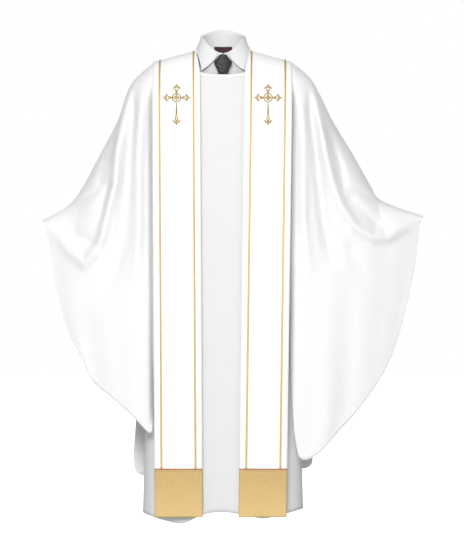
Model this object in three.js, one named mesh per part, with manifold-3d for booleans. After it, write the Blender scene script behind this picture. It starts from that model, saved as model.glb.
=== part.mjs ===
// A white chasuble worn as a full set: an alb (under-gown) with sleeves, an open-fronted chasuble with
// draped wings, a lined stole with gold braid, crosses and end blocks, and a shirt collar with a tie.
// Millimetres. +Z up, the front faces -Y, and left and right are as seen from the front.
// The origin is the middle of the shoulder line, where the wearer's shoulders carry the set.
import * as THREE from 'three';
import { mergeVertices } from 'three/addons/utils/BufferGeometryUtils.js';
import Module from 'manifold-3d';

const wasm = await Module();
wasm.setup();

// ---- driving dimensions ----
const gap = 0.3;                 // clearance between pieces that touch
const cloth = 2;                 // thickness of the alb and the chasuble, with their facings
const shoulderHalf = 203;        // half the width of the alb at the shoulders
const hemHalf = 233;             // half the width of the alb at the hem
const albLength = 1368;          // shoulder line to alb hem
const chestDepth = 112;          // half the depth of the alb from the chest down
const skirtFlare = 0.018;        // extra half depth for each millimetre below the chest
const shoulderDrop = 220;        // height in which the shoulder rounds over to the chest
const shoulderSlope = 0.27;      // fall of the shoulder line for each millimetre outwards
const neckRest = 75;             // half the level stretch of the shoulder line
const neckHalf = 105;            // half the width of the neckline
const frontNeckDrop = 80;
const backNeckDrop = 28;
const neckBandHeight = 10;
const chasubleEase = 10;         // chasuble stands this much outside the alb
const stoleEase = 5;             // stole stands this much outside the chasuble
const stoleWidth = 138;
const stoleLength = 1357;        // shoulder line to the end of the stole
const hingeDrop = 262;           // shoulder line to the line where each stole end swings
const liningThick = 0.8;
const bandThick = 1.2;
const braidWidth = 5;
const braidThick = 1.2;
const braidInset = 20;           // stole edge to the middle of the braid
const blockHeight = 139;
const blockThick = 1.2;
const edgingHeight = 7;
const crossSpan = 81;            // across the arms
const crossDrop = 150;           // shoulder line to the middle of the cross
const crossStem = 79;            // middle of the cross to the foot of its stem
const sleeveThick = 1.6;
const cuffHalf = 46;             // half the height of the sleeve's open end
const armholeHalf = 78;          // half the height of the sleeve where it meets the armhole
const armholeDeep = 52;          // half its depth there
const armholeDrop = 158;         // shoulder line to the middle of the armhole
const armholeSeam = 3;           // sleeve edge to the edge of the hole in the alb
const collarHalf = 60;           // half the width of the collar stand
const collarDepth = 56;          // half its depth
const collarThick = 1.6;
const tieThick = 1.2;
const tieBladeLength = 380;

// Lower edge of a layer at the shoulder line, above the alb's own shoulder line.
const albSeam = -12;
const chasubleSeam = albSeam + cloth + 0.95;
const stoleSeam = chasubleSeam + cloth + 0.8;

const cotton = { color: 0xf4f4f2, roughness: 0.85 };
const satin = { color: 0xfbfbf8, roughness: 0.6 };
const gold = { color: 0xdcb36c, roughness: 0.5, metalness: 0.2 };
const brown = { color: 0xa8642c, roughness: 0.7 };
const black = { color: 0x1c1c1e, roughness: 0.7 };
const shirtGrey = { color: 0xb9bcc2, roughness: 0.8 };
const labelDark = { color: 0x3a2226, roughness: 0.8 };

const root = new THREE.Group();

// ---- helpers ----
const mix = THREE.MathUtils.lerp;
const clamp = THREE.MathUtils.clamp;

// A geometry with shared vertices and its faces outwards.
function closed(geometry) {
  let g = geometry.clone();
  for (const name of Object.keys(g.attributes)) {
    if (name !== 'position') g.deleteAttribute(name);
  }
  g = mergeVertices(g, 1e-4);
  const p = g.attributes.position;
  const index = g.index.array;
  const [a, b, c] = [new THREE.Vector3(), new THREE.Vector3(), new THREE.Vector3()];
  let volume = 0;
  for (let i = 0; i < index.length; i += 3) {
    a.fromBufferAttribute(p, index[i]);
    b.fromBufferAttribute(p, index[i + 1]);
    c.fromBufferAttribute(p, index[i + 2]);
    volume += a.dot(b.cross(c));
  }
  if (volume < 0) {
    for (let i = 0; i < index.length; i += 3) {
      [index[i + 1], index[i + 2]] = [index[i + 2], index[i + 1]];
    }
  }
  return g;
}

function add(name, geometry, look) {
  const mesh = new THREE.Mesh(closed(geometry), new THREE.MeshStandardMaterial(look));
  mesh.name = name;
  mesh.geometry.computeVertexNormals();
  root.add(mesh);
  return mesh;
}

// Bends a flat geometry over a surface: x and y are the surface's own two coordinates, z is the height
// above it along its normal. low and high limit where the surface may be sampled for that normal.
function drape(geometry, surface, step = 1e-3, low = [0, 0], high = [1, 1]) {
  const g = geometry.clone();
  const p = g.attributes.position;
  for (let i = 0; i < p.count; i++) {
    const [a, b, height] = [p.getX(i), p.getY(i), p.getZ(i)];
    const along = surface(Math.min(a + step, high[0]), b).sub(surface(Math.max(a - step, low[0]), b));
    const up = surface(a, Math.min(b + step, high[1])).sub(surface(a, Math.max(b - step, low[1])));
    const normal = along.cross(up).normalize();
    const at = surface(a, b).addScaledVector(normal, height);
    p.setXYZ(i, at.x, at.y, at.z);
  }
  return g;
}

// A flat slab from 0 to 1 in x and y whose two faces share one triangle pattern, so that bent slabs
// laid over each other keep an even gap.
function slab(low, high, columns, rows) {
  const face = new THREE.PlaneGeometry(1, 1, columns, rows).translate(0.5, 0.5, 0);
  const count = face.attributes.position.count;
  const top = Array.from(face.attributes.position.array);
  const points = [...top];
  top.forEach((value, i) => points.push(i % 3 === 2 ? low : value));
  for (let i = 0; i < count; i++) points[3 * i + 2] = high;
  const index = [];
  const ids = face.index.array;
  for (let i = 0; i < ids.length; i += 3) {
    const [a, b, c] = [ids[i], ids[i + 1], ids[i + 2]];
    index.push(a, b, c, a + count, c + count, b + count);
  }
  const wide = columns + 1;
  const wall = (a, b) => index.push(a, a + count, b, b, a + count, b + count);
  for (let i = 0; i < columns; i++) {
    wall(i + 1, i);
    wall(rows * wide + i, rows * wide + i + 1);
  }
  for (let j = 0; j < rows; j++) {
    wall(j * wide, (j + 1) * wide);
    wall((j + 1) * wide + columns, j * wide + columns);
  }
  const g = new THREE.BufferGeometry();
  g.setAttribute('position', new THREE.BufferAttribute(new Float32Array(points), 3));
  return g.setIndex(index);
}

// A sheet over surface(u, v), u and v from 0 to 1, from height base to base + thick.
function sheet(surface, thick, columns, rows, base = 0) {
  return drape(slab(base, base + thick, columns, rows), surface);
}

// A closed band: place(angle, v, w) gives a point for v from 0 to 1 along it and w from 0 to 1 across it.
function ring(place, around, rows) {
  const outline = [];
  for (let i = 0; i <= rows; i++) outline.push(new THREE.Vector2(2, i / rows));
  for (let i = rows; i >= 0; i--) outline.push(new THREE.Vector2(1, i / rows));
  outline.push(new THREE.Vector2(2, 0));
  const g = closed(new THREE.LatheGeometry(outline, around));
  const p = g.attributes.position;
  for (let i = 0; i < p.count; i++) {
    const [x, y, z] = [p.getX(i), p.getY(i), p.getZ(i)];
    const at = place(Math.atan2(z, x), y, Math.hypot(x, z) - 1);
    p.setXYZ(i, at.x, at.y, at.z);
  }
  return g;
}

// A closed geometry as a manifold-3d solid, and back.
function solid(geometry) {
  const g = closed(geometry);
  const mesh = { numProp: 3, vertProperties: g.attributes.position.array, triVerts: new Uint32Array(g.index.array) };
  return new wasm.Manifold(new wasm.Mesh(mesh));
}

function geometryOf(manifold) {
  const m = manifold.getMesh();
  const g = new THREE.BufferGeometry();
  g.setAttribute('position', new THREE.BufferAttribute(new Float32Array(m.vertProperties), 3));
  g.setIndex(new THREE.BufferAttribute(new Uint32Array(m.triVerts), 1));
  return g;
}

const join = (geometries) => geometryOf(geometries.map(solid).reduce((sum, piece) => sum.add(piece)));
const cut = (geometry, tool) => geometryOf(solid(geometry).subtract(solid(tool)));

// ---- the shape that everything hangs on ----
const seamAt = (x) => -shoulderSlope * Math.max(0, Math.abs(x) - neckRest);
const round = (fall) => Math.sqrt(1 - (1 - clamp(fall, 0, 1)) ** 2);

// Drop below the ridge at w from 0 (top edge) to 1 (hem): even steps round the shoulder, whose height
// is over, for the first share of w, then even steps down to length. The top edge lies at drop start.
const roundShare = 0.55;
function dropAt(w, start, over, length) {
  const from = Math.acos(1 - clamp(start / over, 0, 1));
  if (w < roundShare) return over * (1 - Math.cos(mix(from, Math.PI / 2, w / roundShare)));
  return mix(over, length, (w - roundShare) / (1 - roundShare));
}
const flareAt = (z) => skirtFlare * Math.max(0, -z - shoulderDrop);
const albHalfAt = (z) => mix(shoulderHalf, hemHalf, clamp((-z - 260) / (albLength - 260), 0, 1));
const squareness = 3;            // exponent of the alb's rounded section
const roundness = (t) => Math.cbrt(Math.max(0, 1 - Math.abs(t) ** squareness));

// Half depth of the alb at x and z.
function albDepth(x, z) {
  const fall = (seamAt(x) + albSeam - z) / shoulderDrop;
  return (chestDepth + flareAt(z)) * roundness(x / albHalfAt(z)) * round(fall);
}

// ---- alb ----
// front is 1 for the front panel and -1 for the back.
function albSurface(front, neckDrop) {
  return (u, v) => {
    const t = Math.sin((u - 0.5) * Math.PI);
    const seam = seamAt(t * shoulderHalf) + albSeam;
    const start = seam - neckline(t * shoulderHalf, neckDrop, neckHalf);
    const z = seam - dropAt(1 - v, Math.max(0, start), shoulderDrop, seam + albLength);
    const x = front * t * albHalfAt(z);
    return new THREE.Vector3(x, -front * (gap / 2 + albDepth(x, z)), z);
  };
}

// Height of a rounded neckline at x.
function neckline(x, drop, half) {
  return -drop * Math.cbrt(Math.max(0, 1 - (Math.abs(x) / half) ** 3));
}

// Both armholes, as one oval bar across the shoulders.
const armholes = new THREE.CylinderGeometry(1, 1, 3 * shoulderHalf, 24).rotateZ(Math.PI / 2);
armholes.scale(1, armholeDeep - armholeSeam, armholeHalf - armholeSeam).translate(0, 0, -armholeDrop);

// A surface from one share of its height, or of its length, to another.
const between = (surface, from, to) => (u, v, w) => surface(u, mix(from, to, v), w);

// Each side is a yoke, with the neckline and the armholes, and a long skirt sewn on below it.
const yokeFrom = 1 - roundShare;
const skirtTo = yokeFrom * (1 - gap / (albLength - shoulderDrop));
const albColumns = { front: 18, back: 26 };
for (const [name, front, neckDrop] of [['front', 1, frontNeckDrop], ['back', -1, backNeckDrop]]) {
  const whole = albSurface(front, neckDrop);
  const columns = albColumns[name];
  add('alb_yoke_' + name, cut(sheet(between(whole, yokeFrom, 1), cloth, columns, 6), armholes), cotton);
  add('alb_' + name, sheet(between(whole, 0, skirtTo), cloth, columns, 5), cotton);
}

// Neck bands: strips along the neckline, over the raw edge of each panel.
function neckBand(front, drop, half) {
  return (u, v) => {
    const x = front * mix(-half, half, u);
    const z = neckline(x, drop, neckHalf) - (1 - v) * neckBandHeight;
    return new THREE.Vector3(x, -front * (gap / 2 + albDepth(x, z)), z);
  };
}
const bandLift = cloth + gap;
const frontBand = neckBand(1, frontNeckDrop, neckHalf - 8);
add('alb_neck_band_front', sheet(frontBand, cloth, 18, 1, bandLift), cotton);
const backBand = neckBand(-1, backNeckDrop, neckHalf - 27);
add('alb_neck_band_back', sheet(backBand, cloth, 14, 1, bandLift + 0.2), cotton);

// Sleeves: flattened tubes from the armhole down the arm to an open cuff.
function sleevePoint(side) {
  const arm = new THREE.CatmullRomCurve3([
    new THREE.Vector3(shoulderHalf + cloth + gap, 0, -armholeDrop),
    new THREE.Vector3(246, 0, -200),
    new THREE.Vector3(276, 0, -302),
    new THREE.Vector3(322, 0, -422),
    new THREE.Vector3(376, 0, -498),
  ]);
  return (angle, v, w) => {
    const centre = arm.getPoint(v);
    const tilt = mix(0, Math.PI * 0.3, Math.min(1, v * 1.5));
    const tall = mix(armholeHalf, cuffHalf, v) + w * sleeveThick;
    const deep = mix(armholeDeep, 30, v) + w * sleeveThick;
    const [c, s] = [Math.cos(angle), Math.sin(angle)];
    const x = centre.x + tall * c * Math.sin(tilt);
    return new THREE.Vector3(side * x, deep * s, centre.z + tall * c * Math.cos(tilt));
  };
}
// The upper arm and the forearm are sewn together at the elbow.
const elbow = 0.45;
const armReach = 420;            // length of the sleeve's middle line
for (const [name, side] of [['left', -1], ['right', 1]]) {
  const whole = sleevePoint(side);
  add('alb_sleeve_' + name, ring(between(whole, 0, elbow - gap / armReach), 20, 5), cotton);
  add('alb_forearm_' + name, ring(between(whole, elbow, 1), 20, 5), cotton);
}

// ---- chasuble ----
// Each panel runs from an inner edge (u = 0) out to the wing tip (u = 1), between the ridge over the
// shoulder and arm and a lower edge. Points are [x, z] from the inner edge outwards.
const curve = (points) => new THREE.SplineCurve(points.map(([x, z]) => new THREE.Vector2(x, z)));
const wings = {
  left: {
    side: -1,
    ridge: [[204, seamAt(204)], [252, -76], [279, -120], [307, -203], [357, -299], [408, -394], [450, -450], [525, -493]],
    frontHem: [[217, -1113], [261, -1067], [319, -1015], [377, -966], [409, -899], [452, -812], [482, -705], [511, -531]],
    backSide: 258,
    backHem: -1243,
  },
  right: {
    side: 1,
    ridge: [[204, seamAt(204)], [252, -76], [281, -125], [319, -203], [377, -299], [426, -386], [461, -435], [583, -481]],
    frontHem: [[223, -1189], [273, -1177], [331, -1114], [392, -1048], [464, -945], [511, -829], [554, -656], [574, -502]],
    backSide: 250,
    backHem: -1232,
  },
};
const underStole = 150;          // inner front edge of the chasuble, under the stole
const chasubleNeckDrop = 56;     // fall of its back neckline, below the alb's neck band
const chasubleNeckHalf = 125;
const frontColumns = 16;
const backColumns = 24;

// Half depth of the chasuble at x, before it rounds over the ridge: deep on the body, flat at the tip.
function wingDepth(x, tip) {
  const out = clamp((Math.abs(x) - 230) / (tip - 230), 0, 1);
  return mix(chestDepth + chasubleEase, 14, out ** 1.5);
}

function chasublePoint(side, front, tip, top, low, start, v) {
  const length = top.distanceTo(low);
  const over = Math.min(shoulderDrop, length * 0.6);
  const drop = dropAt(1 - v, start, over, length);
  const at = top.clone().lerp(low, drop / length);
  const depth = (wingDepth(at.x, tip) + flareAt(at.y)) * round(drop / over);
  return new THREE.Vector3(side * at.x, -front * (gap / 2 + depth), at.y);
}

// Ridge point at share t: along the shoulder line through its stops, then along the wing's own ridge.
function ridgePoint(stops, shoulderShare, arm, t) {
  if (t > shoulderShare) return arm.getPoint((t - shoulderShare) / (1 - shoulderShare));
  const along = t / shoulderShare;
  const next = Math.max(1, stops.findIndex(([share]) => share >= along - 1e-9));
  const [from, to] = [stops[next - 1], stops[next]];
  const x = mix(from[1], to[1], (along - from[0]) / (to[0] - from[0]));
  return new THREE.Vector2(x, seamAt(x));
}

function chasubleSurface(wing, front) {
  const tip = wing.ridge.at(-1)[0];
  const inner = front > 0 ? underStole : gap / 2;
  const shoulderShare = front > 0 ? 4 / frontColumns : 13 / backColumns;
  const end = wing.ridge[0][0];
  const stops = front > 0 ? [[0, inner], [1, end]] : [[0, inner], [4 / 13, neckRest], [9 / 13, 120], [1, end]];
  const arm = curve(wing.ridge);
  const body = front > 0
    ? [[underStole + 55, -1113]]
    : [[inner, wing.backHem], [130, wing.backHem], [wing.backSide, wing.backHem]];
  const hem = curve([...body, ...wing.frontHem.slice(front > 0 ? 0 : 1)]);
  return (u, v) => {
    const across = wing.side * front > 0 ? u : 1 - u;
    const top = ridgePoint(stops, shoulderShare, arm, across);
    const low = hem.getPoint(across);
    top.y += chasubleSeam;
    const neckEdge = -chasubleNeckDrop * Math.max(0, 1 - (top.x / chasubleNeckHalf) ** 2);
    const start = front > 0 ? 0 : Math.max(0, top.y - neckEdge);
    return chasublePoint(wing.side, front, tip, top, low, start, v);
  };
}

for (const [name, wing] of Object.entries(wings)) {
  add('chasuble_front_' + name, sheet(chasubleSurface(wing, 1), cloth, frontColumns, 12), satin);
  add('chasuble_back_' + name, sheet(chasubleSurface(wing, -1), cloth, backColumns, 12), satin);
}

// ---- stole ----
// Inner edge of a stole band at height z, before its flare towards the neck.
const stoles = {
  left: { side: -1, innerTop: 66, innerEnd: 58 },
  right: { side: 1, innerTop: 63, innerEnd: 45 },
};
const neckFlare = (z) => 15 * Math.max(0, 1 + z / 90) ** 2;
const stoleInner = (band, z) => mix(band.innerTop, band.innerEnd, clamp(-z / stoleLength, 0, 1)) + neckFlare(z);
const stoleOuter = (band, z) => stoleInner(band, z) - neckFlare(z) + stoleWidth;

// Point of the stole's underside at a signed x and a z.
function stolePlace(x, z, front) {
  const fall = (seamAt(x) + stoleSeam - z) / shoulderDrop;
  const depth = (chestDepth + chasubleEase + stoleEase + flareAt(z)) * round(fall);
  return new THREE.Vector3(x, -front * (gap / 2 + depth), z);
}

// Drop below the shoulder line at w from 0 to 1, in even steps round the shoulder.
const upperDrop = (w, length) => length * (1 - Math.cos((w * Math.PI) / 2));

// A strip along the band between insets from its two edges, from height top to bottom.
function stoleStrip(band, fromInner, width, top, bottom) {
  return (u, v) => {
    const across = band.side > 0 ? u : 1 - u;
    const level = top === null ? -upperDrop(1 - v, -bottom) : mix(top, bottom, 1 - v);
    const inner = stoleInner(band, level);
    const x = width ? inner - neckFlare(level) + fromInner + across * width
      : mix(inner, stoleOuter(band, level), across);
    const z = top === null ? seamAt(x) + stoleSeam - upperDrop(1 - v, seamAt(x) + stoleSeam - bottom) : level;
    return stolePlace(band.side * x, z, 1);
  };
}

const hingeTop = -hingeDrop + gap / 2;
const hingeLow = -hingeDrop - gap / 2;
const blockTop = -stoleLength + blockHeight;
const faceLift = liningThick + gap + bandThick + gap;
const crossLift = faceLift + 0.5;

for (const [name, band] of Object.entries(stoles)) {
  const whole = [0, 0];
  const upper = (f, w) => stoleStrip(band, f, w, null, hingeTop);
  const lower = (f, w, end = -stoleLength) => stoleStrip(band, f, w, hingeLow, end);
  const seats = { inner: braidInset - braidWidth / 2, outer: stoleWidth - braidInset - braidWidth / 2 };
  add('stole_lining_' + name + '_upper', sheet(upper(...whole), liningThick, 4, 14), satin);
  add('stole_lining_' + name + '_lower', sheet(lower(...whole), liningThick, 2, 3), satin);
  const bandBase = liningThick + gap;
  add('stole_band_' + name + '_upper', sheet(upper(...whole), bandThick, 4, 14, bandBase), satin);
  add('stole_band_' + name + '_lower', sheet(lower(...whole), bandThick, 2, 3, bandBase), satin);
  for (const [edge, inset] of Object.entries(seats)) {
    const braid = ['stole_braid', name, edge].join('_');
    add(braid + '_upper', sheet(upper(inset, braidWidth), braidThick, 1, 14, faceLift), gold);
    const end = blockTop + gap;
    add(braid + '_lower', sheet(lower(inset, braidWidth, end), braidThick, 1, 3, faceLift), gold);
  }
  const block = stoleStrip(band, 0, 0, blockTop - edgingHeight - gap, -stoleLength);
  add('stole_block_' + name, sheet(block, blockThick, 2, 2, faceLift), gold);
  const edging = stoleStrip(band, 0, 0, blockTop, blockTop - edgingHeight);
  add('stole_block_edging_' + name, sheet(edging, blockThick, 2, 1, faceLift), brown);
}

// Yoke: the stretch behind the neck that joins the two bands.
const yokeDip = 60;              // fall of its upper edge at the middle of the back
function yokeSurface(u, v) {
  const side = Math.sign(0.5 - u);
  const along = 1 - Math.abs(1 - 2 * u);
  const band = side > 0 ? stoles.right : stoles.left;
  const x = side * mix(stoleOuter(band, 0), stoleInner(band, 0), v) * (1 - along ** 2);
  const shoulder = seamAt(x) + stoleSeam;
  const sag = (1 - Math.cos(along * Math.PI)) / 2;
  return stolePlace(x, mix(shoulder, -yokeDip - (1 - v) * stoleWidth, sag), -1);
}
const yokeLift = 0.3;
add('stole_yoke_lining', sheet(yokeSurface, liningThick, 24, 4, yokeLift), satin);
add('stole_yoke', sheet(yokeSurface, bandThick, 24, 4, yokeLift + liningThick + gap), satin);

// ---- crosses ----
// A flat oval with few sides, from height base to base + thick.
function oval(x, y, wide, tall, sides, base, thick, turn = 0) {
  const disc = new THREE.CylinderGeometry(1, 1, thick, sides).rotateX(Math.PI / 2);
  return disc.scale(wide, tall, 1).rotateZ(turn).translate(x, y, base + thick / 2);
}

// Each kind of stitching lies between its own two heights, [base, thick], so that the kinds cross cleanly.
const layers = { stem: [0.3, 0.6], leaf: [0.2, 0.9], bud: [0.1, 1.2], lozenge: [0, 1.5], ring: [0.15, 1.05] };

// A narrow stem along +Y, laid as a row of stitches.
function stitchedStem(length) {
  const stitches = Math.round(length / 9);
  const step = length / stitches;
  return Array.from({ length: stitches }, (_, i) => oval(0, (i + 0.5) * step, 1.6, step * 0.66, 4, ...layers.stem));
}

// One arm along +Y: a stem, a lozenge, a pair of leaves and a bud at the tip.
function crossArm(length) {
  const lozenge = length - crossSpan * 0.21;
  return [
    ...stitchedStem(length - 4),
    oval(0, lozenge, 4.5, 7, 4, ...layers.lozenge),
    oval(-4.8, length - 7, 2.8, 6, 6, ...layers.leaf, 0.9),
    oval(4.8, length - 7, 2.8, 6, 6, ...layers.leaf, -0.9),
    oval(0, length - 4.5, 3, 4.5, 6, ...layers.bud),
  ];
}

function crossGeometry(lay) {
  const pieces = [oval(0, 0, 12, 12, 14, ...layers.ring), oval(0, 0, 7, 7, 4, 0.05, 1.8)];
  const lengths = [crossSpan / 2, crossSpan / 2, crossStem, crossSpan / 2];
  lengths.forEach((length, i) => {
    for (const piece of crossArm(length)) pieces.push(piece.rotateZ((i * Math.PI) / 2));
  });
  return join(pieces.map(lay));
}

for (const [name, band] of Object.entries(stoles)) {
  const middle = band.side * (stoleInner(band, -crossDrop) + stoleWidth / 2);
  const onBand = (x, y) => stolePlace(x, y, 1);
  const far = 1e4;
  const lay = (piece) => {
    const placed = piece.translate(middle, -crossDrop, crossLift);
    return drape(placed, onBand, 0.5, [-far, -far], [far, far]);
  };
  add('stole_cross_' + name, crossGeometry(lay), gold);
}

// ---- shirt collar and tie ----
// Heights of the collar's three edges at the front, the sides and the back.
const edges = {
  standLow: { front: -38, side: -18, back: -24 },
  standTop: { front: -16, side: 38, back: 60 },
  fallLow: { front: -36, side: 8, back: 8 },
};
function edgeHeight(edge, angle) {
  const s = Math.sin(angle);
  return s < 0 ? mix(edge.side, edge.front, s * s) : mix(edge.side, edge.back, s * s);
}

function neckPoint(angle, z, out) {
  return new THREE.Vector3((collarHalf + out) * Math.cos(angle), (collarDepth + out) * Math.sin(angle), z);
}

function openRing(low, high, innerLift, thick, opening, rows) {
  const surface = (u, v) => {
    const angle = mix(-Math.PI / 2 + opening, Math.PI * 1.5 - opening, u);
    return neckPoint(angle, mix(edgeHeight(low, angle), edgeHeight(high, angle), v), innerLift);
  };
  return sheet(surface, thick, 28, rows);
}
add('shirt_collar_stand', openRing(edges.standLow, edges.standTop, 0, collarThick, 0.02, 2), shirtGrey);

const loopLift = collarThick + gap + 0.3;
const loopTop = { front: -22, side: 12, back: 32 };
const loopLow = { front: -34, side: -4, back: 14 };
add('tie_neck_loop', openRing(loopLow, loopTop, loopLift, tieThick, 0.3, 1), black);

// The collar's fall: from the fold at the top of the stand out to a free lower edge with two points.
const fallLift = loopLift + tieThick + gap;
function fallSurface(u, v) {
  const across = 2 * u - 1;
  const foldAngle = mix(-Math.PI / 2 + 0.22, Math.PI * 1.5 - 0.22, u);
  const fold = neckPoint(foldAngle, edgeHeight(edges.standTop, foldAngle), fallLift);
  const lowAngle = mix(-Math.PI / 2 + 0.92, Math.PI * 1.5 - 0.92, u);
  const reach = Math.abs(across) ** 6;
  const low = neckPoint(lowAngle, edgeHeight(edges.fallLow, lowAngle) - 60 * reach, fallLift + 14);
  low.y -= 32 * reach;
  const height = mix(low.z, fold.z, v);
  return low.lerp(fold, 1 - (1 - v) ** 1.8).setZ(height);
}
add('shirt_collar_fall', sheet(fallSurface, collarThick, 28, 3), cotton);

// Shirt front: two halves below the collar, meeting at a placket in the middle.
const bibHalf = 70;
const bibLength = 240;
const bibSlope = (z) => 40 * (1 - Math.exp((z + 38) / 90));
function bibSurface(side) {
  return (u, v) => {
    const x = side > 0 ? mix(gap / 2, bibHalf, u) : mix(-bibHalf, -gap / 2, u);
    const top = mix(edges.standLow.front - 2 * gap, -58, (Math.abs(x) / bibHalf) ** 2);
    const z = mix(top, -bibLength, 1 - v);
    const y = collarDepth * Math.sqrt(1 - (x / 115) ** 2) + bibSlope(z);
    return new THREE.Vector3(x, -y, z);
  };
}
add('shirt_front_left', sheet(bibSurface(-1), collarThick, 5, 6), shirtGrey);
add('shirt_front_right', sheet(bibSurface(1), collarThick, 5, 6), shirtGrey);

// Label inside the back of the collar stand.
function labelSurface(u, v) {
  const angle = mix(Math.PI / 2 + 0.46, Math.PI / 2 - 0.46, u);
  return neckPoint(angle, mix(-12, 10, v), -0.8);
}
add('neck_label', sheet(labelSurface, 0.8, 6, 1), labelDark);

// Button on the stand, behind the knot.
const button = new THREE.CylinderGeometry(5, 5, 2, 16);
button.translate(0, -(collarDepth + collarThick + gap + 1.2), -27);
add('collar_button', button, cotton);

// Tie knot: a tapered, rounded block below the meeting of the collar points.
const knotShape = [[-15, -78], [15, -78], [29, -52], [28, -42], [13, -23], [-13, -23], [-28, -42], [-29, -52]];
const knotDepth = 18;
const knot = new THREE.ExtrudeGeometry(
  new THREE.Shape(knotShape.map(([x, y]) => new THREE.Vector2(x * 0.88, -50 + (y + 50) * 0.9))),
  { depth: knotDepth - 6, bevelEnabled: true, bevelThickness: 3, bevelSize: 3, bevelSegments: 2 },
);
knot.rotateX(Math.PI / 2).translate(0, -collarDepth - 21, 1);
add('tie_knot', knot, black);

// Blade and tail: hang from the knot inside the alb.
const tieTop = -77.6;
function tieStrip(half, length, depthIn) {
  return (u, v) => {
    const z = mix(tieTop, tieTop - length, 1 - v);
    const x = mix(-1, 1, u) * mix(half * 0.5, half, clamp((1 - v) * 2, 0, 1));
    return new THREE.Vector3(x, -(collarDepth + collarThick + 3 + bibSlope(z) - depthIn), z);
  };
}
add('tie_blade', sheet(tieStrip(38, tieBladeLength, 0), tieThick, 2, 6), black);
add('tie_tail', sheet(tieStrip(22, tieBladeLength * 0.8, 2), tieThick, 2, 6), black);

export default root;
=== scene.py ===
import math

import bmesh
import bpy
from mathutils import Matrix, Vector


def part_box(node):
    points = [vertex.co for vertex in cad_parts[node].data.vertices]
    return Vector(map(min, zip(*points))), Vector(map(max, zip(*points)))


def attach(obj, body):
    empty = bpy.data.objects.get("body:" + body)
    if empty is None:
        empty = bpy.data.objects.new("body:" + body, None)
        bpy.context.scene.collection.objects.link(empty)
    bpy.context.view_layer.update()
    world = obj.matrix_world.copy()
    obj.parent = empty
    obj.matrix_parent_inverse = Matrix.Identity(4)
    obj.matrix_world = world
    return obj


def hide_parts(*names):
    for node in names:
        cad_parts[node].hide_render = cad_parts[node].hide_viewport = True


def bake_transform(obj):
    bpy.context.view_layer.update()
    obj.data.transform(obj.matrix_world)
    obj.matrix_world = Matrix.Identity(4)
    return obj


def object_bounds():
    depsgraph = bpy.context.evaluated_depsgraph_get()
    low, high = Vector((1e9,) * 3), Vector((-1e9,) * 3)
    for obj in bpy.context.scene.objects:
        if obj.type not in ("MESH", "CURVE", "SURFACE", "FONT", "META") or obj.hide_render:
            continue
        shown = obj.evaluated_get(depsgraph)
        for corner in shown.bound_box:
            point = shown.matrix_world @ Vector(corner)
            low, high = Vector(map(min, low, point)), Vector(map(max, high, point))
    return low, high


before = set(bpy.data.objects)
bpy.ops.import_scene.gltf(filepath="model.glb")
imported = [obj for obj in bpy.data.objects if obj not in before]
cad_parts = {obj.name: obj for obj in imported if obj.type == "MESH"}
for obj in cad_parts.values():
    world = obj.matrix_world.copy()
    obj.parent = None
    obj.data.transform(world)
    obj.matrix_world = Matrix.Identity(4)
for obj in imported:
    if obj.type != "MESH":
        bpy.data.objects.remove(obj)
cad_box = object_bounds()

# ---- camera ----
# The set is seen straight from the front, at half its height, from far enough off to look flat.
bpy.context.scene.view_settings.view_transform = "Standard"
camera_data = bpy.data.cameras.new("studio_camera")
camera_data.sensor_width = 36.0
camera_data.lens = 201.5
camera_data.clip_end = 60.0
camera = bpy.data.objects.new("studio_camera", camera_data)
bpy.context.scene.collection.objects.link(camera)
camera.location = (0.026, -9.0, -0.661)
camera.rotation_euler = (math.pi / 2, 0.0, 0.0)
bpy.context.scene.camera = camera

# ---- floor, air and light ----
# A white studio: a pale floor, even light all round, and broad soft lights in front, above and behind.
def set_inputs(tree, node, inputs):
    """Gives each input a value, or links it from another node's output."""
    for key, value in inputs.items():
        if isinstance(value, bpy.types.NodeSocket):
            tree.links.new(value, node.inputs[key])
        else:
            node.inputs[key].default_value = value


def add_node(tree, kind, inputs=None, **settings):
    """A new node with its settings and inputs; returns its outputs."""
    node = tree.nodes.new(kind)
    for key, value in settings.items():
        setattr(node, key, value)
    set_inputs(tree, node, inputs or {})
    return node.outputs


def new_finish(name, inputs):
    """A material and its node tree, with the given inputs on its surface shader."""
    finish = bpy.data.materials.new(name)
    finish.use_nodes = True
    set_inputs(finish.node_tree, finish.node_tree.nodes["Principled BSDF"], inputs)
    return finish, finish.node_tree


white = (1.0, 1.0, 1.0, 1.0)
floor_mesh = bmesh.new()
bmesh.ops.create_grid(floor_mesh, x_segments=8, y_segments=8, size=16.0)
for vert in floor_mesh.verts:
    vert.co.z = cad_box[0][2] - 0.10
floor_data = bpy.data.meshes.new("studio_floor")
floor_mesh.to_mesh(floor_data)
floor_mesh.free()
floor = bpy.data.objects.new("studio_floor", floor_data)
bpy.context.scene.collection.objects.link(floor)
floor_look = {"Base Color": (0.8, 0.8, 0.8, 1.0), "Roughness": 0.9, "Emission Color": white}
floor_white, floor_tree = new_finish("studio_floor_white", floor_look)
floor_seen = add_node(floor_tree, "ShaderNodeLightPath")["Is Camera Ray"]
set_inputs(floor_tree, floor_tree.nodes["Principled BSDF"], {"Emission Strength": floor_seen})
floor_data.materials.append(floor_white)

air = bpy.data.worlds.new("studio_air")
bpy.context.scene.world = air
air.use_nodes = True
sky = air.node_tree
set_inputs(sky, sky.nodes["Background"], {"Color": white, "Strength": 0.31})
seen = add_node(sky, "ShaderNodeBackground", {"Color": white, "Strength": 1.0})["Background"]
air_seen = add_node(sky, "ShaderNodeLightPath")["Is Camera Ray"]
glow = sky.nodes["Background"].outputs["Background"]
chosen = add_node(sky, "ShaderNodeMixShader", {"Fac": air_seen, 1: glow, 2: seen})
set_inputs(sky, sky.nodes["World Output"], {"Surface": chosen["Shader"]})

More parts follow.
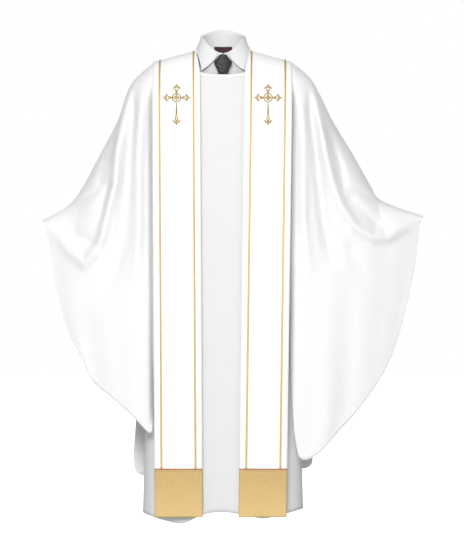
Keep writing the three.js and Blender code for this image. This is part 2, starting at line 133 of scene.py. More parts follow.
lamp_aim = Vector((0.0, 0.0, -0.66))
for name, place, watts in (("front_softbox", (-0.5, -5.8, 1.4), 272.0),
                           ("top_softbox", (0.0, -1.6, 4.2), 34.0),
                           ("rear_softbox", (0.8, 6.0, 0.6), 90.0)):
    lamp_data = bpy.data.lights.new(name, "AREA")
    lamp_data.shape = "RECTANGLE"
    lamp_data.size = 1.8
    lamp_data.size_y = 1.8
    lamp_data.energy = watts
    lamp = bpy.data.objects.new(name, lamp_data)
    bpy.context.scene.collection.objects.link(lamp)
    lamp.location = place
    lamp.rotation_euler = (lamp_aim - Vector(place)).to_track_quat("-Z", "Y").to_euler()


# ---- alb: front and back panels ----
# The long under-gown is plain matt cotton, a front and a back panel sewn at the shoulders and sides.
# It rounds over the shoulders and falls straight, in shallow upright folds, to a wavy hem.
def mix(a, b, share):
    return a + (b - a) * share


def clamp(value, low=0.0, high=1.0):
    return max(low, min(high, value))


def socket(tree, name, side, kind, value=None):
    made = tree.interface.new_socket(name=name, in_out=side, socket_type=kind)
    if value is not None:
        made.default_value = value


def woven_cloth_group():
    """Threads both ways on the piece's own flat layout, in metres, with a slow change of tone."""
    tree = bpy.data.node_groups.new("woven_cloth", "ShaderNodeTree")
    for word, value in (("Light", (0.9, 0.9, 0.9, 1.0)), ("Dark", (0.8, 0.8, 0.8, 1.0))):
        socket(tree, word, "INPUT", "NodeSocketColor", value)
    for word, value in (("Threads", 900.0), ("Ribs", 0.5), ("Smooth", 0.6), ("Rough", 0.85)):
        socket(tree, word, "INPUT", "NodeSocketFloat", value)
    socket(tree, "Color", "OUTPUT", "NodeSocketColor")
    socket(tree, "Roughness", "OUTPUT", "NodeSocketFloat")
    socket(tree, "Height", "OUTPUT", "NodeSocketFloat")
    given = add_node(tree, "NodeGroupInput")
    place = add_node(tree, "ShaderNodeTexCoord")
    pitch = add_node(tree, "ShaderNodeMath", {0: given["Threads"], 1: math.pi / 10},
                     operation="MULTIPLY")["Value"]
    across, along = (add_node(tree, "ShaderNodeTexWave",
                              {"Vector": place["UV"], "Scale": pitch, "Distortion": 0.8, "Detail": 1.0},
                              bands_direction=direction)["Fac"] for direction in ("X", "Y"))
    weave = add_node(tree, "ShaderNodeMix", {"Factor": given["Ribs"], "A": across, "B": along})["Result"]
    slow = add_node(tree, "ShaderNodeTexNoise",
                    {"Vector": place["Object"], "Scale": 6.0, "Detail": 4.0})["Fac"]
    slub = add_node(tree, "ShaderNodeTexNoise", {"Vector": place["UV"], "Scale": 420.0, "Detail": 2.0})["Fac"]
    worn = add_node(tree, "ShaderNodeMath", {0: slow, 1: 0.8, 2: slub}, operation="MULTIPLY_ADD")["Value"]
    tone = add_node(tree, "ShaderNodeMath", {0: worn, 1: weave}, operation="ADD")["Value"]
    shade = add_node(tree, "ShaderNodeMapRange", {"Value": tone, "From Min": 0.5, "From Max": 2.1})["Result"]
    colour = add_node(tree, "ShaderNodeMix", {"Factor": shade, 6: given["Dark"], 7: given["Light"]},
                      data_type="RGBA")
    rough = add_node(tree, "ShaderNodeMix", {"Factor": shade, "A": given["Rough"], "B": given["Smooth"]})
    add_node(tree, "NodeGroupOutput", {"Color": colour[2], "Roughness": rough["Result"], "Height": weave})
    return tree


def seam_stitches_group():
    """A line of stitches a short way inside both long edges of a piece of the given width."""
    tree = bpy.data.node_groups.new("seam_stitches", "ShaderNodeTree")
    for word, value in (("Width", 0.1), ("Inset", 0.003), ("Length", 1.0), ("End inset", 0.02)):
        socket(tree, word, "INPUT", "NodeSocketFloat", value)
    socket(tree, "Groove", "OUTPUT", "NodeSocketFloat")
    given = add_node(tree, "NodeGroupInput")
    flat = add_node(tree, "ShaderNodeTexCoord")["UV"]
    apart = add_node(tree, "ShaderNodeSeparateXYZ", {"Vector": flat})

    def calculate(operation, first, second=0.0):
        return add_node(tree, "ShaderNodeMath", {0: first, 1: second}, operation=operation)["Value"]

    def near_line(along, whole, inset):
        edge = calculate("MINIMUM", along, calculate("SUBTRACT", whole, along))
        off = calculate("ABSOLUTE", calculate("SUBTRACT", edge, inset))
        return calculate("SUBTRACT", 1.0, calculate("MINIMUM", calculate("MULTIPLY", off, 900.0), 1.0))

    side = near_line(apart["X"], given["Width"], given["Inset"])
    end = near_line(apart["Y"], given["Length"], given["End inset"])
    dash = calculate("SINE", calculate("MULTIPLY", calculate("ADD", apart["X"], apart["Y"]), 2500.0))
    stitched = calculate("MULTIPLY", calculate("MAXIMUM", side, end), calculate("MULTIPLY_ADD", dash, 0.3))
    add_node(tree, "NodeGroupOutput", {"Groove": stitched})
    return tree


woven_cloth = woven_cloth_group()
seam_stitches = seam_stitches_group()


def cloth_finish(name, light, dark, threads, smooth, rough, sheen=0.15, bump=0.12, ribs=0.5, seam=None):
    """A woven cloth; seam is the (width, inset, length, end inset) of its stitch lines, in metres."""
    finish, tree = new_finish(name,
                              {"Sheen Weight": sheen, "Sheen Roughness": 0.5, "Specular IOR Level": 0.3})
    weave = add_node(tree, "ShaderNodeGroup",
                     {"Light": (*light, 1.0), "Dark": (*dark, 1.0), "Threads": threads,
                      "Ribs": ribs, "Smooth": smooth, "Rough": rough}, node_tree=woven_cloth)
    relief = {"Height": weave["Height"], "Strength": bump, "Distance": 0.0003}
    if seam:
        lines = dict(zip(("Width", "Inset", "Length", "End inset"), seam))
        stitches = add_node(tree, "ShaderNodeGroup", lines, node_tree=seam_stitches)
        pucker = {"Height": stitches["Groove"], "Strength": 0.5, "Distance": 0.001}
        relief["Normal"] = add_node(tree, "ShaderNodeBump", pucker, invert=True)["Normal"]
    set_inputs(tree, tree.nodes["Principled BSDF"], {
        "Normal": add_node(tree, "ShaderNodeBump", relief)["Normal"],
        "Base Color": weave["Color"],
        "Roughness": weave["Roughness"],
    })
    return finish


alb_cotton = cloth_finish("alb_cotton", (0.755, 0.755, 0.762), (0.705, 0.705, 0.715), 800.0, 0.7, 0.9,
                          seam=(0.80, 0.006, 1.40, 0.025))
shoulder_half = 0.203
hem_half = 0.233
alb_length = 1.368
chest_depth = 0.112
skirt_flare = 0.018
shoulder_drop = 0.220
shoulder_slope = 0.27
neck_rest = 0.075
neck_half = 0.105
front_neck_drop = 0.080
back_neck_drop = 0.028
alb_seam = -0.012
hair_gap = 0.00015


def seam_height(x):
    return -shoulder_slope * max(0.0, abs(x) - neck_rest)


def rounding(fall):
    return math.sqrt(1.0 - (1.0 - clamp(fall)) ** 2)


def skirt_out(z):
    return skirt_flare * max(0.0, -z - shoulder_drop)


def alb_half(z):
    return mix(shoulder_half, hem_half, clamp((-z - 0.26) / (alb_length - 0.26)))


def alb_depth(x, z):
    across = max(0.0, 1.0 - (abs(x) / alb_half(z)) ** 3) ** (1.0 / 3.0)
    return (chest_depth + skirt_out(z)) * across * rounding((seam_height(x) + alb_seam - z) / shoulder_drop)


def neckline(x, drop, half=neck_half):
    return -drop * max(0.0, 1.0 - (abs(x) / half) ** 3) ** (1.0 / 3.0)


def drop_at(w, start, over, length, share=0.45):
    """Drop below the ridge at w: even steps round the shoulder, then even steps down."""
    first = math.acos(1.0 - clamp(start / over))
    if w < share:
        return over * (1.0 - math.cos(mix(first, math.pi / 2, w / share)))
    return mix(over, length, (w - share) / (1.0 - share))


def through(points, t):
    """A place on the smooth curve through the points, at t from 0 to 1."""
    last = len(points) - 1
    at = clamp(t) * last
    i = min(int(at), last - 1)
    w = at - i
    near = (points[max(0, i - 1)], points[i], points[i + 1], points[min(last, i + 2)])
    place = []
    for a, b, c, d in zip(*near):
        v0, v1 = (c - a) * 0.5, (d - b) * 0.5
        place.append((2 * b - 2 * c + v0 + v1) * w ** 3 + (3 * c - 3 * b - 2 * v0 - v1) * w ** 2 + v0 * w + b)
    return place


def finish_piece(name, made, finishes):
    """The bmesh becomes a smooth-shaded object with its finishes."""
    mesh = bpy.data.meshes.new(name)
    made.to_mesh(mesh)
    made.free()
    for finish in finishes:
        mesh.materials.append(finish)
    for face in mesh.polygons:
        face.use_smooth = True
    piece = bpy.data.objects.new(name, mesh)
    bpy.context.scene.collection.objects.link(piece)
    return piece


def thicken(piece, thickness):
    """Gives a sheet its thickness on the outer side, as part of its mesh."""
    wall = piece.modifiers.new("thickness", "SOLIDIFY")
    wall.thickness = thickness
    wall.offset = 1.0
    graph = bpy.context.evaluated_depsgraph_get()
    final = bpy.data.meshes.new_from_object(piece.evaluated_get(graph))
    piece.modifiers.clear()
    bare = piece.data
    piece.data = final
    bpy.data.meshes.remove(bare)
    final.name = piece.name
    return piece


def cloth_sheet(name, lay, columns, rows, finish, flat, thickness, joined=False):
    """A grid laid out by lay(u, v), u across and v up, with its flat cut kept as its UV map in metres."""
    cut = bmesh.new()
    bmesh.ops.create_grid(cut, x_segments=columns, y_segments=rows, size=0.5)
    flat_map = cut.loops.layers.uv.new("flat_cut")
    for face in cut.faces:
        for loop in face.loops:
            loop[flat_map].uv = ((loop.vert.co.x + 0.5) * flat[0], (loop.vert.co.y + 0.5) * flat[1])
    for vert in cut.verts:
        vert.co = lay(clamp(vert.co.x + 0.5), clamp(vert.co.y + 0.5))
    if joined:
        bmesh.ops.remove_doubles(cut, verts=cut.verts, dist=1e-5)
    return thicken(finish_piece(name, cut, [finish]), thickness)


hem_heights = [(-1.352,), (-1.368,), (-1.377,), (-1.352,), (-1.344,), (-1.352,), (-1.363,), (-1.352,),
               (-1.340,)]


def alb_panel(front, neck_drop):
    def lay(u, v):
        t = math.sin((u - 0.5) * math.pi)
        seam = seam_height(t * shoulder_half) + alb_seam
        start = max(0.0, seam - neckline(t * shoulder_half, neck_drop))
        hem = through(hem_heights, (front * t + 1) / 2)[0]
        z = seam - drop_at(1 - v, start, shoulder_drop, seam - hem)
        x = front * t * alb_half(z)
        low = clamp((-z - 0.30) / 1.05)
        if front > 0:
            fold = low ** 1.5 * (0.0035 * math.sin(24 * x + 0.7)
                                 + 0.002 * math.sin(47 * x + 0.3 * math.sin(5 * z)))
        else:
            fold = low * (0.008 * math.sin(33 * x + 0.7 + 0.6 * z) + 0.005 * math.sin(61 * x + 2.0))
        y = alb_depth(x, z) + fold * (1 - abs(t) ** 6)
        return Vector((x, -front * (hair_gap + max(0.0, y)), z))
    return lay


for name, front, neck_drop in (("front", 1, front_neck_drop), ("back", -1, back_neck_drop)):
    panel = cloth_sheet("alb_panel_" + name, alb_panel(front, neck_drop), 100, 150, alb_cotton, (0.80, 1.40),
                        0.0016)
    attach(panel, "vestment")
    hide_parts("alb_" + name, "alb_yoke_" + name)

# ---- alb: neck bands ----
# A narrow band of the same cotton folded over the raw edge of each panel's neckline and stitched.
band_cotton = cloth_finish("alb_band_cotton", (0.86, 0.86, 0.86), (0.80, 0.80, 0.805), 800.0, 0.7, 0.85,
                           seam=(0.26, 0.002, 0.010, 0.0015))
neck_band_height = 0.010


def neck_band(front, drop, half, lift):
    def lay(u, v):
        x = front * mix(-half, half, u)
        z = neckline(x, drop) - (1 - v) * neck_band_height
        return Vector((x, -front * (hair_gap + alb_depth(x, z) + lift), z))
    return lay


neck_bands = (("front", 1, front_neck_drop, 0.097, 0.0023, (0.26, 0.010)),
              ("back", -1, back_neck_drop, 0.078, 0.0025, (0.22, 0.012)))
for name, front, drop, half, lift, flat in neck_bands:
    band = cloth_sheet("alb_neckline_" + name, neck_band(front, drop, half, lift), 60, 6, band_cotton,
                       (0.26, 0.012), 0.0014)
    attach(band, "vestment")
    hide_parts("alb_neck_band_" + name)

# ---- alb: sleeves ----
# Plain tubes set into the armholes, which hang down the arm inside the chasuble and end in open cuffs.
sleeve_cotton = cloth_finish("alb_sleeve_cotton", (0.835, 0.835, 0.84), (0.785, 0.785, 0.795), 800.0, 0.7,
                             0.9,
                             seam=(0.30, 0.004, 0.46, 0.012))
arm_line = [(0.2053, -0.158), (0.246, -0.200), (0.276, -0.302), (0.322, -0.422), (0.376, -0.498)]


def sleeve(side):
    def lay(u, v):
        angle = side * u * 2 * math.pi
        x, z = through(arm_line, 1 - v)
        down = 1 - v
        tilt = mix(0.0, 0.3 * math.pi, min(1.0, down * 1.5))
        crease = 0.0022 * math.sin(3 * angle + 9 * down) * math.sin(math.pi * down)
        crease += 0.0015 * math.sin(30 * down + 2 * math.sin(angle)) * clamp(down * 4) * clamp(4 - down * 4)
        tall = mix(0.078, 0.046, down) + crease
        deep = mix(0.052, 0.030, down) + crease
        across = tall * math.cos(angle)
        return Vector((side * (x + across * math.sin(tilt)), deep * math.sin(angle),
                       z + across * math.cos(tilt)))
    return lay


for name, side in (("left", -1), ("right", 1)):
    arm = cloth_sheet("alb_arm_" + name, sleeve(side), 72, 60, sleeve_cotton, (0.32, 0.46), 0.0014,
                      joined=True)
    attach(arm, "vestment")
    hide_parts("alb_sleeve_" + name, "alb_forearm_" + name)

# ---- chasuble ----
# The outer vestment, heavy white satin-backed cloth, open in front: each side is a front and a back
# panel sewn along the ridge of the shoulder and arm. It falls in deep swags from the arms to a long hem.
chasuble_cloth = cloth_finish("chasuble_satin", (0.86, 0.86, 0.862), (0.815, 0.815, 0.82), 950.0, 0.55, 0.8,
                              sheen=0.25, ribs=0.65, seam=(0.62, 0.006, 1.20, 0.018))
chasuble_ease = 0.010
chasuble_seam = -0.00905
under_stole = 0.150
chasuble_neck_drop = 0.056
chasuble_neck_half = 0.125
wings = {
    "left": {
        "side": -1,
        "ridge": [(0.204, seam_height(0.204)), (0.252, -0.076), (0.279, -0.120), (0.307, -0.203),
                  (0.357, -0.299),
                  (0.408, -0.394), (0.450, -0.450), (0.525, -0.493)],
        "front_hem": [(0.217, -1.113), (0.261, -1.067), (0.319, -1.015), (0.377, -0.966), (0.409, -0.899),
                      (0.452, -0.812), (0.482, -0.705), (0.511, -0.531)],
        "back_side": 0.258,
        "back_hem": -1.243,
        "cut": {1: ((0.62, 1.20), 0.31), -1: ((0.75, 1.30), 0.52)},
    },
    "right": {
        "side": 1,
        "ridge": [(0.204, seam_height(0.204)), (0.252, -0.076), (0.281, -0.125), (0.319, -0.203),
                  (0.377, -0.299),
                  (0.426, -0.386), (0.461, -0.435), (0.583, -0.481)],
        "front_hem": [(0.223, -1.189), (0.273, -1.177), (0.331, -1.114), (0.392, -1.048), (0.464, -0.945),
                      (0.511, -0.829), (0.554, -0.656), (0.574, -0.502)],
        "back_side": 0.250,
        "back_hem": -1.232,
        "cut": {1: ((0.66, 1.27), 0.36), -1: ((0.80, 1.30), 0.58)},
    },
}
# Each fold is a line of (x, z, height, half width); a height below zero is a valley.
left_folds = [
    [(0.258, -0.101, -0.014, 0.012), (0.262, -0.177, -0.032, 0.012), (0.270, -0.278, -0.038, 0.013),
     (0.279, -0.409, -0.038, 0.016), (0.291, -0.539, -0.035, 0.020), (0.316, -0.632, -0.024, 0.026),
     (0.349, -0.708, -0.005, 0.030)],
    [(0.303, -0.203, 0.007, 0.014), (0.305, -0.278, 0.021, 0.014), (0.310, -0.394, 0.021, 0.014),
     (0.331, -0.467, 0.021, 0.014), (0.349, -0.551, 0.021, 0.014), (0.378, -0.603, 0.018, 0.016),
     (0.402, -0.626, 0.014, 0.016), (0.447, -0.589, 0.009, 0.016), (0.494, -0.531, 0.005, 0.016)],
    [(0.229, -0.096, 0.006, 0.013), (0.238, -0.203, 0.015, 0.014), (0.244, -0.348, 0.015, 0.014),
     (0.244, -0.539, 0.015, 0.014), (0.252, -0.684, 0.005, 0.018)],
    [(0.525, -0.493, 0.000, 0.008), (0.449, -0.449, -0.010, 0.009), (0.365, -0.415, -0.012, 0.009),
     (0.328, -0.400, -0.006, 0.009)],
    [(0.331, -0.406, -0.008, 0.010), (0.349, -0.458, -0.014, 0.012), (0.354, -0.493, -0.006, 0.012)],
    [(0.342, -0.299, -0.003, 0.014), (0.357, -0.386, -0.008, 0.014)],
    [(0.473, -0.516, -0.004, 0.018), (0.371, -0.574, -0.008, 0.018)],
]
right_folds = [
    [(0.249, -0.104, -0.010, 0.012), (0.257, -0.203, -0.034, 0.012), (0.269, -0.299, -0.039, 0.012),
     (0.278, -0.394, -0.039, 0.014), (0.291, -0.493, -0.036, 0.016), (0.305, -0.566, -0.023, 0.020),
     (0.325, -0.618, -0.005, 0.024)],
    [(0.267, -0.145, 0.006, 0.013), (0.281, -0.226, 0.016, 0.013), (0.296, -0.307, 0.018, 0.013),
     (0.315, -0.394, 0.018, 0.014), (0.344, -0.467, 0.018, 0.014), (0.383, -0.522, 0.018, 0.015),
     (0.435, -0.554, 0.018, 0.016), (0.475, -0.551, 0.016, 0.016), (0.533, -0.516, 0.012, 0.016),
     (0.566, -0.493, 0.006, 0.016)],
    [(0.228, -0.177, 0.008, 0.012), (0.232, -0.299, 0.015, 0.013), (0.232, -0.493, 0.015, 0.014),
     (0.246, -0.638, 0.005, 0.016)],
    [(0.348, -0.407, -0.006, 0.008), (0.455, -0.435, -0.012, 0.009), (0.580, -0.484, -0.006, 0.009)],
    [(0.368, -0.444, -0.006, 0.014), (0.441, -0.507, -0.008, 0.016)],
    [(0.304, -0.217, -0.004, 0.010), (0.339, -0.348, -0.008, 0.012), (0.348, -0.394, -0.008, 0.012)],
    [(0.368, -0.589, -0.006, 0.018), (0.441, -0.734, 0.000, 0.024)],
]


# The folds start at the outer edge of the stole band, where the cloth is tucked back along its edge.
band_tuck = {"left": 0.030, "right": 0.034}
stole_width = 0.138
stole_length = 1.357
stoles = {
    "left": {"side": -1, "inner_top": 0.066, "inner_end": 0.058},
    "right": {"side": 1, "inner_top": 0.063, "inner_end": 0.045},
}


def neck_flare(z):
    return 0.015 * max(0.0, 1 + z / 0.090) ** 2


def stole_inner(band, z):
    return mix(band["inner_top"], band["inner_end"], clamp(-z / stole_length)) + neck_flare(z)


def fold_height(folds, x, z):
    """Sum of the folds' heights at x and z, each fold's from the nearest place on its line."""
    total = 0.0
    for line in folds:
        best = None
        for (x0, z0, h0, w0), (x1, z1, h1, w1) in zip(line, line[1:]):
            dx, dz = x1 - x0, z1 - z0
            t = clamp(((x - x0) * dx + (z - z0) * dz) / (dx * dx + dz * dz))
            away = math.hypot(x - x0 - t * dx, z - z0 - t * dz)
            if best is None or away < best[0]:
                best = (away, mix(h0, h1, t), mix(w0, w1, t))
        away, height, width = best
        if away < 4 * width:
            total += height * math.exp(-(away / width) ** 2)
    return total


def smooth(value, low, high):
    t = clamp((value - low) / (high - low))
    return t * t * (3 - 2 * t)


def wing_depth(x, tip):
    out = clamp((abs(x) - 0.230) / (tip - 0.230))
    return mix(chest_depth + chasuble_ease, 0.014, out ** 1.5)


def ridge_place(stops, shoulder_share, arm, t):
    """Place on the ridge at share t: over the shoulder through its stops, then down the arm."""
    if t > shoulder_share:
        return through(arm, (t - shoulder_share) / (1 - shoulder_share))
    along = t / shoulder_share
    for (s0, x0), (s1, x1) in zip(stops, stops[1:]):
        if along <= s1 + 1e-9:
            x = mix(x0, x1, (along - s0) / (s1 - s0))
            return [x, seam_height(x)]
    return [stops[-1][1], seam_height(stops[-1][1])]


def chasuble_panel(name, front, folds):
    wing = wings[name]
    side, tip, ridge_end = wing["side"], wing["ridge"][-1][0], wing["ridge"][0][0]
    inner = under_stole if front > 0 else hair_gap
    if front > 0:
        shoulder_share, stops = 4 / 16, [(0, inner), (1, ridge_end)]
        hem = [(under_stole + 0.055, -1.113)] + wing["front_hem"]
    else:
        shoulder_share, stops = 13 / 24, [(0, inner), (4 / 13, neck_rest), (9 / 13, 0.120), (1, ridge_end)]
        hem = [(inner, wing["back_hem"]), (0.130, wing["back_hem"]), (wing["back_side"], wing["back_hem"])]
        hem += wing["front_hem"][1:]

    def lay(u, v):
        across = u if side * front > 0 else 1 - u
        top_x, top_z = ridge_place(stops, shoulder_share, wing["ridge"], across)
        low_x, low_z = through(hem, across)
        top_z += chasuble_seam
        neck_edge = -chasuble_neck_drop * max(0.0, 1 - (top_x / chasuble_neck_half) ** 2)
        start = 0.0 if front > 0 else max(0.0, top_z - neck_edge)
        length = math.hypot(top_x - low_x, top_z - low_z)
        over = min(shoulder_drop, length * 0.6)
        drop = drop_at(1 - v, start, over, length)
        x, z = mix(top_x, low_x, drop / length), mix(top_z, low_z, drop / length)
        flat_depth = (wing_depth(x, tip) + skirt_out(z)) * rounding(drop / over)
        fall = clamp((drop - 0.02) / 0.10)
        fold = fold_height(folds, x, z)
        lower = clamp((-z - 0.50) / 0.5)
        if front > 0:
            fold += lower * (0.0035 * math.sin(38 * x + 3 * z) + 0.002 * math.sin(71 * x - 4 * z + side))
            band_edge = stole_inner(stoles[name], z) - neck_flare(z) + stole_width
            fold *= smooth(x, band_edge - 0.004, band_edge + 0.006)
            tuck = smooth(-z, 0.03, 0.20) * smooth(z, -1.16, -1.02)
            fold -= band_tuck[name] * tuck * math.exp(-((x - band_edge) / 0.0095) ** 2)
            edge = smooth(math.hypot(x - low_x, z - low_z), 0.0, 0.05)
            fold *= mix(0.35, 1.0, edge)
        else:
            fold = 0.55 * fold * smooth(x, 0.16, 0.24)
            fold += lower * (0.007 * math.sin(29 * x + 2 * z) + 0.004 * math.sin(53 * x - 3 * z))
            fold *= smooth(x, 0.002, 0.02)
        depth = flat_depth + fold * fall * min(1.0, flat_depth / 0.05)
        return Vector((side * x, -front * (hair_gap + max(0.0, depth)), z))
    return lay


for name, folds in (("left", left_folds), ("right", right_folds)):
    for place, front in (("front", 1), ("back", -1)):
        flat, area = wings[name]["cut"][front]
        columns = 130 if front > 0 else 110
        panel = cloth_sheet("_".join(("chasuble_panel", place, name)), chasuble_panel(name, front, folds),
                            columns, 170, chasuble_cloth, flat, 0.0018)
        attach(panel, "vestment")
        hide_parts("_".join(("chasuble", place, name)))

# ---- stole: bands and linings ----
# A long white satin band falls from each shoulder, lined with plain cloth and turned in along its
# edges with a line of stitches. Its upper part lies on the chest, and its end hangs free.
stole_satin = cloth_finish("stole_satin", (0.92, 0.92, 0.915), (0.88, 0.88, 0.875), 1100.0, 0.42, 0.6,
                           sheen=0.3, ribs=0.75, bump=0.08, seam=(0.138, 0.0035, 1.40, 0.004))
stole_lining_cloth = cloth_finish("stole_lining_cotton", (0.84, 0.83, 0.81), (0.78, 0.77, 0.75), 800.0, 0.7,
                                  0.9,
                                  seam=(0.138, 0.005, 1.40, 0.006))
stole_ease = 0.005
stole_seam = -0.00625
hinge_drop = 0.262
lining_thick = 0.0008
band_thick = 0.0012
layer_gap = 0.0003

def on_stole(x, z, front, lift):
    """Place at x and z on the stole's underside, raised by lift along the cloth's own outward side."""
    fall = (seam_height(x) + stole_seam - z) / shoulder_drop
    bulge = chest_depth + chasuble_ease + stole_ease + skirt_out(z)
    depth = bulge * rounding(fall)
    out, up = rounding(fall) / bulge, (1.0 - clamp(fall)) / shoulder_drop
    long = math.hypot(out, up)
    return Vector((x, -front * (hair_gap + depth + lift * out / long), z + lift * up / long))


def stole_strip(band, from_inner, width, lift, top=None, bottom=-stole_length, ripple=0.0):
    """A strip along the band; with no width it spans the band, flare and all."""
    side = band["side"]

    def lay(u, v):
        across = u if side > 0 else 1 - u
        w = 1 - v
        level = -drop_at(w, 0.0, shoulder_drop, -bottom, 0.3) if top is None else mix(top, bottom, w)
        inner = stole_inner(band, level)
        if width:
            x = inner - neck_flare(level) + from_inner + across * width
        else:
            x = mix(inner, inner - neck_flare(level) + stole_width, across)
        z = level
        if top is None:
            shoulder = seam_height(x) + stole_seam
            z = shoulder - drop_at(w, 0.0, shoulder_drop, shoulder - bottom, 0.3)
        share = (x - inner) / stole_width
        wave = ripple * math.sin(4.2 * z + side) * math.sin(math.pi * clamp(share)) * clamp((-z - 0.25) / 0.2)
        return on_stole(side * x, z, 1, lift + wave)
    return lay


def swing_end(piece):
    """Bakes the piece's placement into its mesh; the cloth is not bent at the hinge line."""
    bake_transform(piece)


for name, band in stoles.items():
    lining = cloth_sheet("stole_lining_cloth_" + name, stole_strip(band, 0, 0, 0.0), 16, 190,
                         stole_lining_cloth,
                         (stole_width, 1.44), lining_thick)
    face = cloth_sheet("stole_band_cloth_" + name, stole_strip(band, 0, 0, lining_thick + layer_gap), 20, 190,
                       stole_satin, (stole_width, 1.44), band_thick)
    for piece, kind, slot_name in ((lining, "lining", "stole_lining"), (face, "band", "stole_cloth")):
        swing_end(piece)
        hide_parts(*["_".join(("stole", kind, name, part)) for part in ("upper", "lower")])

# ---- stole: gold braid ----
# A narrow flat braid of gold thread is sewn on along each band, a little way in from both edges.
gold_threads = bpy.data.node_groups.new("gold_threads", "ShaderNodeTree")
for word, value in (("Light", (0.6, 0.45, 0.2, 1)), ("Dark", (0.3, 0.2, 0.08, 1))):
    socket(gold_threads, word, "INPUT", "NodeSocketColor", value)
socket(gold_threads, "Scale", "INPUT", "NodeSocketFloat", 100.0)
socket(gold_threads, "Turn", "INPUT", "NodeSocketFloat", 0.0)
socket(gold_threads, "Color", "OUTPUT", "NodeSocketColor")
socket(gold_threads, "Height", "OUTPUT", "NodeSocketFloat")
given = add_node(gold_threads, "NodeGroupInput")
place = add_node(gold_threads, "ShaderNodeTexCoord")
turned = add_node(gold_threads, "ShaderNodeVectorRotate", {"Vector": place["UV"], "Angle": given["Turn"]},
                  rotation_type="Z_AXIS")["Vector"]
strands = add_node(gold_threads, "ShaderNodeTexWave",
                   {"Vector": turned, "Scale": given["Scale"], "Distortion": 1.5, "Detail": 2.0},
                   bands_direction="X")["Fac"]
mottle = add_node(gold_threads, "ShaderNodeTexNoise", {"Vector": place["Object"], "Scale": 130.0})["Fac"]
softened = add_node(gold_threads, "ShaderNodeMath", {0: strands, 1: 0.7}, operation="MULTIPLY")["Value"]
blended = add_node(gold_threads, "ShaderNodeMath", {0: mottle, 1: 0.6, 2: softened},
                   operation="MULTIPLY_ADD")["Value"]
tint = add_node(gold_threads, "ShaderNodeMix", {"Factor": blended, 6: given["Dark"], 7: given["Light"]},
                data_type="RGBA")
add_node(gold_threads, "NodeGroupOutput", {"Color": tint[2], "Height": strands})


def gold_finish(name, light, dark, scale, turn, metal=0.35, rough=0.42, bump=0.35):
    finish, tree = new_finish(name, {"Metallic": metal, "Roughness": rough})
    threads = add_node(tree, "ShaderNodeGroup",
                       {"Light": (*light, 1.0), "Dark": (*dark, 1.0), "Scale": scale, "Turn": turn},
                       node_tree=gold_threads)
    relief = add_node(tree, "ShaderNodeBump",
                      {"Height": threads["Height"], "Strength": bump, "Distance": 0.0006})
    set_inputs(tree, tree.nodes["Principled BSDF"],
               {"Normal": relief["Normal"], "Base Color": threads["Color"]})
    return finish


gold_braid = gold_finish("gold_braid", (0.70, 0.48, 0.15), (0.38, 0.24, 0.06), 190.0, 0.8)
braid_width = 0.005
braid_inset = 0.020
block_height = 0.139
face_lift = lining_thick + layer_gap + band_thick + layer_gap
block_top = -stole_length + block_height

for name, band in stoles.items():
    for edge, inset in (("inner", braid_inset - braid_width / 2),
                        ("outer", stole_width - braid_inset - braid_width / 2)):
        strip = stole_strip(band, inset, braid_width, face_lift, bottom=block_top + layer_gap)
        braid = cloth_sheet("_".join(("stole_braid_line", name, edge)), strip, 4, 300, gold_braid,
                            (braid_width, 1.30), 0.0009)
        swing_end(braid)
        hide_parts(*["_".join(("stole_braid", name, edge, part)) for part in ("upper", "lower")])

# ---- stole: end blocks ----
# Each end is closed by a block of ribbed gold brocade, under a narrow brown edging with a pale cord.
brocade = gold_finish("gold_brocade", (0.62, 0.43, 0.17), (0.46, 0.30, 0.10), 75.0, 0.0, 0.2, 0.5, 0.3)
weaving = brocade.node_tree
# Painted highlight: down each block the brocade's colour is mixed more and more towards pale gold, so the
# block is lighter at its bottom.
painted_highlight_gold = (0.78, 0.56, 0.24, 1.0)
painted_highlight_place = add_node(weaving, "ShaderNodeTexCoord")["Object"]
height = add_node(weaving, "ShaderNodeSeparateXYZ", {"Vector": painted_highlight_place})["Z"]
painted_highlight_share = add_node(weaving, "ShaderNodeMapRange",
                {"Value": height, "From Min": -1.225, "From Max": -stole_length,
                                                "To Min": 0.0, "To Max": 0.65})["Result"]
threads = [node for node in weaving.nodes if node.type == "GROUP"][0]
painted_highlight_tint = add_node(weaving, "ShaderNodeMix", {"Factor": painted_highlight_share, 6: threads.outputs["Color"], 7: painted_highlight_gold},
                 data_type="RGBA")
set_inputs(weaving, weaving.nodes["Principled BSDF"], {"Base Color": painted_highlight_tint[2]})
edging_brown = gold_finish("edging_brown", (0.46, 0.22, 0.075), (0.26, 0.11, 0.035), 120.0, math.pi / 2, 0.15,
                           0.55)
cord_gold = gold_finish("edging_cord", (0.93, 0.72, 0.38), (0.70, 0.48, 0.20), 160.0, 0.8, 0.25, 0.4)
edging_height = 0.007
cord_height = 0.0018

for name, band in stoles.items():
    block_low = block_top - edging_height - layer_gap
    strip = stole_strip(band, 0, 0, face_lift, block_low, -stole_length)
    block = cloth_sheet("stole_block_brocade_" + name, strip, 40, 36, brocade, (stole_width, 0.132), 0.0011)
    strip = stole_strip(band, 0, 0, face_lift, block_top, block_low + layer_gap)
    edging = cloth_sheet("stole_edging_" + name, strip, 40, 6, edging_brown, (stole_width, edging_height),
                         0.0012)
    strip = stole_strip(band, 0, 0, face_lift + 0.0012, block_low + layer_gap + cord_height,
                        block_low + layer_gap)
    cord = cloth_sheet("stole_edging_cord_" + name, strip, 60, 3, cord_gold, (stole_width, cord_height),
                       0.0007)
    for piece in (block, edging, cord):
        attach(piece, "stole_" + name + "_end")
    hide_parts("stole_block_" + name)
    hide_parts("stole_block_edging_" + name)

# ---- stole: yoke ----
# The stretch behind the neck joins the bands. It is the same satin, lined, and dips to a shallow point.
yoke_dip = 0.060
yoke_lift = 0.0003
stole_outer = {name: stole_inner(band, 0.0) - neck_flare(0.0) + stole_width for name, band in stoles.items()}


